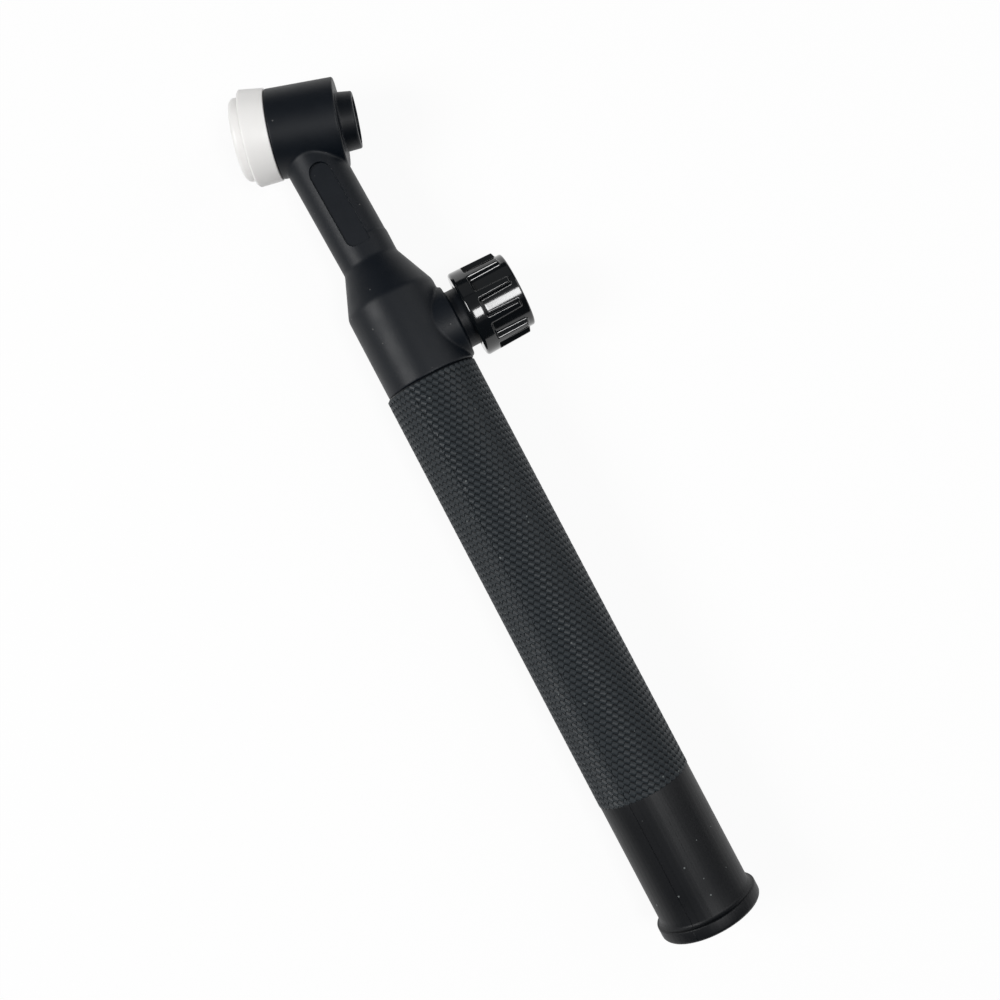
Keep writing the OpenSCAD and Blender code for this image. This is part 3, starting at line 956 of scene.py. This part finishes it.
@dataclass
class RubberMoulding:
    """The rubber over shoulder, valve boss, neck and head, with the sunk panel on the neck."""

    bones: Skeleton
    shoulder_r: float = 10.2
    shoulder: float = 19.2
    neck_r: float = 6.4
    boss_r: float = 8.2
    boss_reach: float = 11.2
    collar_r: float = 6.6
    collar_reach: float = 15.6
    head_r: float = 9.5
    head_front: float = 5.0
    head_back: float = 9.9
    rear_collar_r: float = 6.0
    rear_collar: float = 3.45
    spigot_r: float = 8.55
    spigot: float = 16.0
    cut_steps: int = 96
    grid: float = 0.215
    fillet: float = 0.8
    crease: tuple[float, float] = (18.0, 30.0)
    crease_weight: float = 1.6
    crease_rounds: int = 8
    skin_rounds: int = 3
    panel_start: float = 3.5
    panel_length: float = 19.5
    panel_width: float = 4.9
    panel_depth: float = 0.8
    panel_edge: float = 0.12
    panel_margin: float = 0.45
    panel_cuts: int = 3
    panel_side: float = 3.0
    corner_knob: float = 0.5
    corner_nozzle: float = 1.9
    smooth: float = 42

    def _placed(self, *turned: Piece) -> list[Piece]:
        """Puts four turned forms on the axes of shoulder, neck, head and valve.

        Args:
            turned: the four forms.

        Returns:
            The forms, each on its axis.
        """
        bones = self.bones
        axes = (bones.shoulder(), bones.neck(), bones.head(), bones.valve())
        return [Bench.turn(piece, axis) for piece, axis in zip(turned, axes)]

    def skin(self) -> Piece:
        """Fuses the turned forms into one skin with soft creases.

        Returns:
            The closed outer form, in the torch's frame.
        """
        cone, length, thick = self.bones.cone_end, self.bones.neck_length, self.neck_r
        back, rear, collar = -self.head_back, -self.head_back - self.rear_collar, self.rear_collar_r
        body = Bench.lathe("skin_shoulder", Bench.round_corners(
            [(0, 0), (self.shoulder_r, 0, 0.2), (self.shoulder_r, self.shoulder, 3.0), (thick, cone, 2.0),
             (thick, cone + 5), (0, cone + 5)], 8))
        neck = Bench.lathe("skin_neck", [(0, 0.5), (thick, 0.5), (thick, length), (0, length)])
        head = Bench.lathe("skin_head", Bench.round_corners(
            [(0, rear), (collar, rear, 0.3), (collar + 0.3, back), (self.head_r, back, 0.25),
             (self.head_r, self.head_front, 0.4), (0, self.head_front)]), 160)
        boss = Bench.lathe("skin_boss", Bench.round_corners(
            [(0, 1), (self.boss_r, 1), (self.boss_r, self.boss_reach, 0.4), (self.collar_r, self.boss_reach),
             (self.collar_r, self.collar_reach, 0.3), (0, self.collar_reach)]))
        piece = Bench.join(self._placed(body, neck, head, boss))
        Bench.add(piece, "REMESH", mode="VOXEL", voxel_size=self.grid, use_smooth_shade=True)
        return piece

    def soften(self, piece: Piece) -> None:
        """Smooths the skin, most where the neck runs into the head.

        Args:
            piece: the skin.
        """
        to_neck = self.bones.neck().inverted()
        to_head = self.bones.head().inverted()
        every = piece.vertex_groups.new(name="every")
        crease = piece.vertex_groups.new(name="crease")
        for vertex in piece.data.vertices:
            every.add([vertex.index], 1.0, "REPLACE")
            on_neck, on_head = to_neck @ vertex.co, to_head @ vertex.co
            if not self.crease[0] <= on_neck.x <= self.crease[1]:
                continue
            off_neck = abs(math.hypot(on_neck.y, on_neck.z) - self.neck_r)
            off_head = abs(math.hypot(on_head.y, on_head.z) - self.head_r)
            weight = 1 - max(off_neck, off_head) / self.fillet
            if weight > 0 and on_head.x > -self.head_back + 1.0:
                crease.add([vertex.index], min(1.0, self.crease_weight * weight), "REPLACE")
        for rounds, group in ((self.crease_rounds, "crease"), (self.skin_rounds, "every")):
            Bench.add(piece, "SMOOTH", factor=0.5, iterations=rounds, vertex_group=group)

    def _panel_distance(self, along: float, across: float) -> float:
        """Works out how far a place lies outside the panel's edge, in the plan.

        Args:
            along: distance along the neck.
            across: distance to its side.

        Returns:
            The distance.
        """
        half = self.panel_length / 2
        side = self.panel_width / 2
        from_middle = along - self.panel_start - half
        if from_middle > 0:
            corner = side
        else:
            corner = self.corner_knob if across < 0 else self.corner_nozzle
        over_end = abs(from_middle) - half + corner
        over_side = abs(across) - side + corner
        outside = math.hypot(max(over_end, 0.0), max(over_side, 0.0))
        return min(max(over_end, over_side), 0.0) + outside - corner

    def panel(self, piece: Piece) -> None:
        """Presses the bare panel into the top of the neck, after making the skin finer round its edge.

        Args:
            piece: the skin.
        """
        to_neck = self.bones.neck().inverted()

        def near_edge(here: Vector) -> bool:
            """Tells whether a place lies close to the panel's edge.

            Args:
                here: the vertex's place.

            Returns:
                Whether it lies there.
            """
            local = to_neck @ here
            off = abs(self._panel_distance(local.x, local.y))
            return local.z > self.panel_side and off < self.panel_margin

        Bench.edit(piece, "VERT", everything=False)
        Bench.select(piece, near_edge)
        bpy.ops.mesh.subdivide(number_cuts=self.panel_cuts)
        Bench.done()
        floor = self.neck_r - self.panel_depth
        back = self.bones.neck()

        def press(here: Vector) -> Vector | None:
            """Lowers a vertex to the panel's floor, or onto its steep edge.

            Args:
                here: the vertex's place.

            Returns:
                Its new place, or None where it stays.
            """
            local = to_neck @ here
            if local.z < self.panel_side:
                return None
            inside = 0.5 - self._panel_distance(local.x, local.y) / self.panel_edge
            if inside <= 0:
                return None
            share = min(1.0, inside)
            share = share * share * (3 - 2 * share)
            local.z += (min(floor, local.z) - local.z) * share
            return back @ local

        Bench.shape(piece, press)

    def hollows(self) -> list[Piece]:
        """Turns the tools that cut out what the brass and copper fill.

        Returns:
            The tools, in the torch's frame.
        """
        barrel = [(0, -20), (4.02, -20), (4.02, -1.02), (6.02, -1.02), (6.02, 18.72), (0, 18.72)]
        core = [(0, -12), (4.77, -12), (4.77, -2.78), (4.4, -2.78), (4.4, 1.1), (3.65, 1.1), (3.65, 20.6),
                (4.4, 20.6), (4.4, 24.58), (4.77, 24.58), (4.77, 31), (0, 31)]
        head = Bench.round_corners([(0, -20), (4.95, -20), (4.95, -12.9, 0.3), (4.72, -12.5), (4.72, -7.92),
                                    (6.42, -7.92), (6.42, 3.82), (5.76, 3.82), (5.76, 12), (0, 12)])
        housing = [(0, 2), (4.87, 2), (4.87, 15.2), (5.1, 15.4), (5.1, 20), (0, 20)]
        named = {"cut_barrel": barrel, "cut_core": core, "cut_head": head, "cut_housing": housing}
        return self._placed(*(Bench.lathe(name, outline, self.cut_steps) for name, outline in named.items()))

    def solid(self) -> Piece:
        """Makes the whole moulding before it is parted at the middle of the neck.

        Returns:
            The moulding, in the torch's frame.
        """
        piece = self.skin()
        self.soften(piece)
        self.panel(piece)
        spigot = Bench.lathe("spigot", [(0, -self.spigot), (self.spigot_r - 1, -self.spigot),
                                        (self.spigot_r, -self.spigot + 1.5), (self.spigot_r, 0.6), (0, 0.6)])
        Bench.cut(piece, spigot, Cut.FUSE)
        for tool in self.hollows():
            Bench.cut(piece, tool)
        return piece

    def part(self, piece: Piece, name: str, behind: bool) -> Piece:
        """Copies one side of the moulding, parted at the middle of the neck.

        Args:
            piece: the whole moulding.
            name: the new piece's name.
            behind: keeps the shoulder's side.

        Returns:
            The parted piece.
        """
        twin = Bench.copy(piece, name)
        frame = self.bones.neck()
        middle = frame @ Vector((self.bones.flex / 2, 0, 0))
        along = (frame.to_3x3() @ Vector((1, 0, 0))).normalized()
        Bench.halve(twin, middle, along, keep_behind=behind)
        return twin

    def build(self, palette: Palette) -> list[Piece]:
        """Makes the two stretches of the moulding and dresses them.

        Args:
            palette: the finishes.

        Returns:
            The shoulder's piece and the head's piece.
        """
        whole = self.solid()
        whole.name = "moulding_whole"
        Bench.smooth(whole, self.smooth)
        rear = self.part(whole, "moulding_shoulder", True)
        front = self.part(whole, "moulding_head", False)
        joints = ((rear, ("shoulder_jacket", "neck_sleeve"), Body.ROOT, Body.NECK, 0.0),
                  (front, ("head_jacket",), Body.NECK, Body.HEAD, 0.5))
        for piece, nodes, first, second, start in joints:
            Palette.dress(piece, self.bones, self.smooth, palette.rubber)
            self.bones.on_neck(start * self.bones.flex)
            self.bones.on_neck((start + 0.5) * self.bones.flex)
            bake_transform(piece)
            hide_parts(*nodes)
        bpy.data.objects.remove(whole)
        return [rear, front]


# ------------------------------------------------------------------ inside the neck


@dataclass
class FlexCore:
    """The corrugated tube and the woven braid in the neck, each in two stretches."""

    bones: Skeleton
    smooth: float = 50
    bore_rows: int = 24
    wave_steps: int = 8
    tube_r: float = 2.9
    bore_r: float = 1.7
    root_r: float = 2.35
    pitch: float = 1.6
    tube_ends: tuple[float, float] = (-6.35, 28.15)
    waves: tuple[float, float] = (1.5, 22.3)
    braid_in: float = 3.0
    braid_out: float = 3.6
    braid_ends: tuple[float, float] = (-2.75, 24.55)
    braid_rows: int = 130
    strands: int = 12
    strand_rise: float = 0.05

    def tube(self, name: str) -> Piece:
        """Turns the corrugated tube.

        Args:
            name: the piece's name.

        Returns:
            The tube.
        """
        first, last = self.tube_ends
        outside = [(self.tube_r, first)]
        steps = round((self.waves[1] - self.waves[0]) / self.pitch * self.wave_steps)
        for k in range(steps + 1):
            along = self.waves[0] + k * self.pitch / self.wave_steps
            dip = (1 - math.cos(2 * math.pi * k / self.wave_steps)) / 2
            outside.append((self.tube_r - (self.tube_r - self.root_r) * dip, along))
        outside.append((self.tube_r, last))
        return Bench.lathe(name, outside + self._bore(self.bore_r, first, last), 48)

    def _bore(self, radius: float, first: float, last: float) -> Outline:
        """The straight inside of a tube, from its last end back to its first."""
        return [(radius, last - k * (last - first) / self.bore_rows) for k in range(self.bore_rows + 1)]

    def braid(self, name: str) -> Piece:
        """Turns the braid's sleeve and raises its crossing strands.

        Args:
            name: the piece's name.

        Returns:
            The braid.
        """
        first, last = self.braid_ends
        low = self.braid_out - self.strand_rise
        outside = [(low, first + k * (last - first) / self.braid_rows) for k in range(self.braid_rows + 1)]
        piece = Bench.lathe(name, outside + self._bore(self.braid_in, first, last), 144)

        def weave(here: Vector) -> Vector | None:
            """Lifts a vertex of the outside where a strand runs over it.

            Args:
                here: the vertex's place.

            Returns:
                Its new place, or None where it stays.
            """
            radius = math.hypot(here.y, here.z)
            if radius < self.braid_in + 0.2:
                return None
            angle = math.atan2(here.y, here.z) * self.strands
            along = here.x * self.strands / self.braid_out
            lift = self.strand_rise * math.sin(angle + along) * math.sin(angle - along)
            return Vector((here.x, here.y * (1 + lift / radius), here.z * (1 + lift / radius)))

        Bench.shape(piece, weave)
        return piece

    def build(self, palette: Palette) -> list[Piece]:
        """Makes both stretches of tube and braid and dresses them.

        Args:
            palette: the finishes.

        Returns:
            The four pieces.
        """
        made = []
        flex = self.bones.flex
        for make, name, node, finish in ((self.tube, "corrugated_tube", "flex_tube", palette.copper),
                                         (self.braid, "woven_braid", "copper_braid", palette.braid)):
            for side, first, second, start in (("rear", Body.ROOT, Body.NECK, 0.0),
                                               ("front", Body.NECK, Body.HEAD, 0.5)):
                piece = make(f"{name}_{side}")
                Bench.halve(piece, Vector((flex / 2, 0, 0)), Vector((1, 0, 0)), side == "rear")
                Bench.turn(piece, self.bones.neck())
                Palette.dress(piece, self.bones, self.smooth, finish)
                self.bones.on_neck(start * flex)
                self.bones.on_neck((start + 0.5) * flex)
                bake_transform(piece)
                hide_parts(node)
                made.append(piece)
        return made


# ------------------------------------------------------------------ knob and gasket


@dataclass
class ValveKnob:
    """The ribbed valve knob and its cap."""

    bones: Skeleton
    base_r: float = 9.7
    base: float = 13.6
    end: float = 25.95
    edge: float = 0.7
    end_edge: float = 0.45
    draft: float = math.radians(1.6)
    band_end: float = 16.64
    band_wall: float = 0.62
    floor_r: float = 8.45
    floor_draft: float = math.radians(0.5)
    ribs: int = 10
    phase: float = math.radians(27.6)
    crest: tuple[float, float] = (0.6, 0.38)
    foot: tuple[float, float] = (1.55, 1.15)
    tip: float = 24.1
    tip_slope: float = 0.65
    skirt_r: float = 7.0
    hub_r: float = 4.0
    bore_r: float = 2.02
    core_r: float = 6.05
    pocket_r: float = 6.97
    cap_t: float = 0.95
    skirt: float = 16.5
    hub: tuple[float, float] = (15.75, 21.85)
    core: float = 18.5
    around: int = 720
    crowd: tuple[float, float] = (0.36, 0.28)
    smooth: float = 38

    def _cone_r(self, along: float) -> float:
        """Radius of the band and of the ribs' crests."""
        return self.base_r - max(0.0, along - self.base - self.edge) * math.tan(self.draft)

    def _floor_r(self, along: float) -> float:
        """Radius of the surface between the ribs."""
        return self.floor_r - max(0.0, along - self.band_end) * math.tan(self.floor_draft)

    @staticmethod
    def _soft(value: float) -> float:
        """A step from 0 to 1 with rounded ends."""
        value = min(1.0, max(0.0, value))
        return 2 * value * value if value < 0.5 else 1 - 2 * (1 - value) ** 2

    def section(self) -> Outline:
        """Section of the knob between two ribs, with the rooms for collar, hub, screw and cap.

        Returns:
            Its points, as (radius, distance from the handle's axis).
        """
        start = self.base + self.edge
        last = self.end - self.end_edge
        wall = self.band_end + self.band_wall
        spans = ((start, self.band_end, 6), (self.band_end, wall, 12), (wall, self.tip, 12),
                 (self.tip, self.tip + self.tip_slope, 10), (self.tip + self.tip_slope, last, 3))
        rows = [low + (high - low) * k / count for low, high, count in spans for k in range(count)]
        outer = [(self._floor_r(row), row) for row in rows[1:]]
        rim = Bench.round_corners([(self.skirt_r, self.base), (self.base_r, self.base, self.edge),
                                   (self.base_r, start + 0.02)], 8)
        seat = self.end - self.cap_t - 0.05
        brim = Bench.round_corners(
            [(self._floor_r(last), last), (self._floor_r(self.end), self.end, self.end_edge),
             (self.pocket_r, self.end, 0.08), (self.pocket_r, seat), (self.core_r, seat)], 6)
        low, high = self.hub
        inner = [(self.core_r, self.core), (self.hub_r, self.core), (self.hub_r, high), (self.bore_r, high),
                 (self.bore_r, low), (self.hub_r, low), (self.hub_r, self.skirt), (self.skirt_r, self.skirt)]
        return rim[:-1] + outer + brim + inner

    def ribbed(self, piece: Piece) -> None:
        """Raises band and ribs out of the turned knob, with rounded edges.

        Args:
            piece: the turned knob.
        """
        pitch = 2 * math.pi / self.ribs

        def crowd(turn: float) -> float:
            """Draws a share of the pitch, from the middle of a rib, closer to the rib.

            Args:
                turn: the share of the pitch.

            Returns:
                The share after it.
            """
            off = abs(turn)
            near, closer = self.crowd
            spread = (0.5 - closer) / (0.5 - near)
            off = off * closer / near if off < near else closer + (off - near) * spread
            return math.copysign(off, turn)

        def raise_rib(here: Vector) -> Vector | None:
            """Moves a vertex round the knob, and out to the band or a rib if it lies on one.

            Args:
                here: the vertex's place.

            Returns:
                Its new place, or None where it stays.
            """
            radius = math.hypot(here.y, here.z)
            if radius < 1.0:
                return None
            turn = (math.atan2(-here.y, here.z) - self.phase) / pitch
            middle = round(turn)
            off = crowd(turn - middle)
            angle = self.phase + (middle + off) * pitch
            if radius > self.pocket_r + 0.5 and here.x > self.base + self.edge - 0.01:
                height = (here.x - self.band_end) / (self.end - self.band_end)
                crest = self.crest[0] + (self.crest[1] - self.crest[0]) * height
                foot = self.foot[0] + (self.foot[1] - self.foot[0]) * height
                side = self._soft((foot - abs(off) * pitch * self._cone_r(here.x)) / (foot - crest))
                rib = side * (1 - self._soft((here.x - self.tip) / self.tip_slope))
                band = 1 - self._soft((here.x - self.band_end) / self.band_wall)
                share = 1 - (1 - rib) * (1 - band)
                if share > 0:
                    radius += (self._cone_r(here.x) - radius) * share
            return Vector((here.x, -radius * math.sin(angle), radius * math.cos(angle)))

        Bench.shape(piece, raise_rib)

    def cap(self) -> Piece:
        """Turns the cap that is let into the knob's end.

        Returns:
            The cap, in the valve's frame.
        """
        low = self.end - self.cap_t
        plug = self.core_r - 0.02
        disc = self.pocket_r - 0.02
        return Bench.lathe("knob_end_cap", Bench.round_corners(
            [(0, low), (plug - 0.9, low), (plug - 0.9, low - 1.6), (plug, low - 1.6, 0.2), (plug, low),
             (disc, low, 0.15), (disc, self.end, 0.2), (6.1, self.end, 0.15), (5.95, self.end - 0.12, 0.1),
             (5.4, self.end - 0.12, 0.1), (5.25, self.end, 0.15), (0, self.end)], 4), 192)

    def build(self, palette: Palette) -> list[Piece]:
        """Makes knob and cap, dresses them and puts them on the turning body.

        Args:
            palette: the finishes.

        Returns:
            The two pieces.
        """
        knob = Bench.lathe("knob_ribbed", self.section(), self.around)
        self.ribbed(knob)
        made = []
        for piece, node in ((knob, "knob"), (self.cap(), "knob_cap")):
            Bench.turn(piece, self.bones.valve())
            Palette.dress(piece, self.bones, self.smooth, palette.knob)
            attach(piece, Body.KNOB.value)
            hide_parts(node)
            made.append(piece)
        return made


@dataclass
class CupGasket:
    """The white gasket on the front of the head."""

    bones: Skeleton
    front: float = 5.0
    bore_r: float = 5.75
    back_r: float = 9.75
    flange_r: float = 10.325
    flange: float = 5.5
    step_r: float = 8.8
    length: float = 7.8
    smooth: float = 35

    def build(self, palette: Palette) -> Piece:
        """Turns the gasket, dresses it and puts it on the head.

        Args:
            palette: the finishes.

        Returns:
            The gasket.
        """
        bore, end = self.bore_r, self.length
        piece = Bench.lathe("cup_gasket_turned", Bench.round_corners(
            [(bore, 0.02), (self.back_r, 0.02, 0.2), (self.back_r + 0.16, 1.6),
             (self.flange_r, self.flange, 0.55), (self.step_r, self.flange, 0.3), (self.step_r, end, 1.2),
             (bore + 0.9, end), (bore + 0.5, end - 0.12), (bore, end - 0.5, 0.2)], 7), 224)
        Bench.turn(piece, self.bones.head() @ Matrix.Translation((self.front, 0, 0)))
        Palette.dress(piece, self.bones, self.smooth, palette.gasket)
        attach(piece, Body.HEAD.value)
        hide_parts("cup_gasket")
        return piece


# ------------------------------------------------------------------ light and camera


@dataclass(frozen=True)
class SoftBox:
    """A soft lamp: where it hangs, what it looks at, its size and power."""

    name: str
    place: tuple[float, float, float]
    target: tuple[float, float, float]
    width: float
    height: float
    power: float

    def build(self) -> None:
        """Hangs the lamp."""
        lamp = bpy.data.lights.new(self.name, "AREA")
        lamp.shape = "RECTANGLE"
        lamp.size, lamp.size_y, lamp.energy = self.width, self.height, self.power
        holder = bpy.data.objects.new(self.name, lamp)
        bpy.context.scene.collection.objects.link(holder)
        holder.location = self.place
        holder.rotation_mode = "QUATERNION"
        holder.rotation_quaternion = (Vector(self.target) - Vector(self.place)).to_track_quat("-Z", "Y")


@dataclass
class Studio:
    """The pale floor, the soft light and the camera straight above the torch."""

    bones: Skeleton
    lens: float = 41.43
    height: float = 250.0
    over: tuple[float, float] = (-30.1, -1.2)
    right: tuple[float, float] = (-0.4659, -0.8848)
    pale: Colour = (0.86, 0.86, 0.86)
    glow: float = 0.92
    sky: float = 0.04

    def camera(self) -> None:
        """Hangs the camera over the torch, turned as the picture is."""
        data = bpy.data.cameras.new("camera")
        data.lens, data.sensor_width = self.lens, 36.0
        data.clip_start, data.clip_end = 0.01, 10.0
        holder = bpy.data.objects.new("camera", data)
        bpy.context.scene.collection.objects.link(holder)
        right = Vector((*self.right, 0)).normalized()
        up = Vector((-right.y, right.x, 0))
        turn = Matrix((right, up, Vector((0, 0, 1)))).transposed().to_4x4()
        place = self.bones.origin + Vector((*self.over, self.height)) * MM
        holder.matrix_world = Matrix.Translation(place) @ turn
        bpy.context.scene.camera = holder

    def floor(self) -> None:
        """Lays the pale floor, which looks white to the camera and keeps a soft shadow."""
        Bench.clear()
        bpy.ops.mesh.primitive_plane_add(size=6.0, location=(0, 0, -0.0005))
        floor = bpy.context.active_object
        floor.name = "floor"
        material = bpy.data.materials.new("floor")
        material.use_nodes = True
        tree = material.node_tree
        tree.nodes.clear()
        diffuse = Effects.node(tree, "BsdfDiffuse", {"Color": (*self.pale, 1)})
        glow = Effects.node(tree, "Emission", {})
        path = Effects.node(tree, "LightPath", {})
        seen = path.outputs["Is Camera Ray"]
        for kind in ("Glossy", "Transmission"):
            seen = Effects.math(tree, "MAXIMUM", seen, path.outputs[f"Is {kind} Ray"])
        share = Effects.math(tree, "MULTIPLY", seen, self.glow)
        mix = Effects.node(tree, "MixShader", {"Fac": share, 1: diffuse.outputs[0], 2: glow.outputs[0]})
        Effects.node(tree, "OutputMaterial", {"Surface": mix.outputs[0]})
        floor.data.materials.append(material)

    def light(self) -> None:
        """Hangs the lamps and sets the sky."""
        world = bpy.data.worlds.new("studio")
        bpy.context.scene.world = world
        world.use_nodes = True
        background = world.node_tree.nodes["Background"]
        background.inputs["Color"].default_value = (1, 1, 1, 1)
        background.inputs["Strength"].default_value = self.sky
        for box in (SoftBox("lamp_key", (0.18, 0.55, 0.51), (0.04, 0.0, 0.0), 0.3, 0.3, 3.75),
                    SoftBox("lamp_strip", (-0.129, -0.127, 0.62), (-0.129, -0.127, 0.0), 0.216, 0.14, 1.65),
                    SoftBox("lamp_fill", (0.03, -0.6, 0.5), (0.03, 0.0, 0.0), 0.5, 0.5, 1.6),
                    SoftBox("lamp_side", (0.65, 0.0, 0.45), (0.03, 0.0, 0.0), 0.5, 0.5, 0.15),
                    SoftBox("lamp_over", (0.0, 0.0, 0.7), (0.0, 0.0, 0.0), 1.0, 1.0, 0.45)):
            box.build()

    def build(self) -> None:
        """Sets up camera, floor and light."""
        scene = bpy.context.scene
        scene.view_settings.view_transform = "Standard"
        self.camera()
        self.floor()
        self.light()


def main(frame: dict) -> None:
    """Builds the torch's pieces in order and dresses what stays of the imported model.
    """
    logging.basicConfig(level=logging.INFO, format="%(message)s", stream=sys.stdout)
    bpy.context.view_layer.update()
    palette = Palette()
    bones = Skeleton.from_handle()
    slots = {part["node"]: part["material_slot"] for part in frame["record"]["subparts"]}
    for node, piece in frame["nodes"].items():
        Palette.coat(piece, palette.slots()[slots[node]])
    made = [Handle(bones).build(palette), *RubberMoulding(bones).build(palette),
            *FlexCore(bones).build(palette), *ValveKnob(bones).build(palette),
            CupGasket(bones).build(palette)]
    for piece in made:
        LOG.info("%s: %d faces", piece.name, len(piece.data.polygons))
    Studio(bones).build()


if __name__ == "__main__":
    main(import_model())
